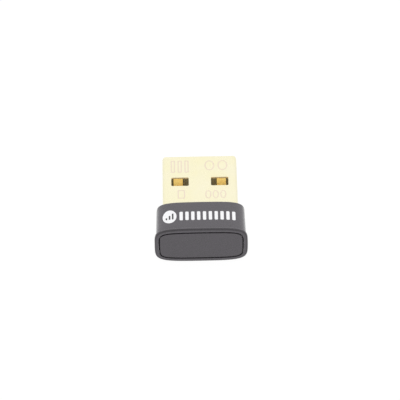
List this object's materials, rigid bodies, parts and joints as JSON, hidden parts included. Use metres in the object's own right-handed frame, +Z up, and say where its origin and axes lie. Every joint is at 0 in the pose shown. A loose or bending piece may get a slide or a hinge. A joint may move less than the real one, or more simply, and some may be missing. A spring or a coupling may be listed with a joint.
{
  "type": "usb wireless adapter",
  "caption": "Nano USB wireless adapter: a short black moulded housing with a lipped end on a gilt type-A plug with windows over its contact strips.",
  "frame": {"origin": "bottom centre of the adapter's box: level with the lowest point of the housing's lip, half-way between the end panel and the plug's tip", "axes": "+X to the right seen from the housing's end, +Y from the housing to the plug's tip, +Z up, on the side that the contact strips face"},
  "size_m": [0.0148, 0.0188, 0.0069],
  "materials": {
    "housing": "fine satin moulded black",
    "end_panel": "fine satin moulded black",
    "gilt_shell": "pale gilt plating on sheet metal",
    "insulator": "moulded tan plastic, in the shade of the shell",
    "gold_contact": "gold-plated stamped strip",
    "board": "green solder mask",
    "chip_case": "moulded chip package",
    "crystal_can": "plain metal lid on a ceramic base",
    "ceramic": "pale ceramic with tinned ends",
    "capacitor": "tan ceramic with tinned ends",
    "resistor": "dark film on ceramic with tinned ends"
  },
  "bodies": {
    "root": {"housing_sleeve": "housing", "end_cap": "end_panel", "plug_shell": "gilt_shell", "contact_carrier": "insulator", "contact_power": "gold_contact", "contact_data_minus": "gold_contact", "contact_data_plus": "gold_contact", "contact_ground": "gold_contact", "circuit_board": "board", "radio_chip": "chip_case", "memory_chip": "chip_case", "voltage_regulator": "chip_case", "crystal": "crystal_can", "chip_antenna": "ceramic", "antenna_inductor": "ceramic", "antenna_capacitor": "capacitor", "crystal_capacitor_left": "capacitor", "crystal_capacitor_right": "capacitor", "decoupling_capacitor_near": "capacitor", "decoupling_capacitor_far": "capacitor", "input_capacitor": "capacitor", "output_capacitor": "capacitor", "data_resistor_minus": "resistor", "data_resistor_plus": "resistor", "ferrite_bead": "resistor"}
  },
  "joints": []
}
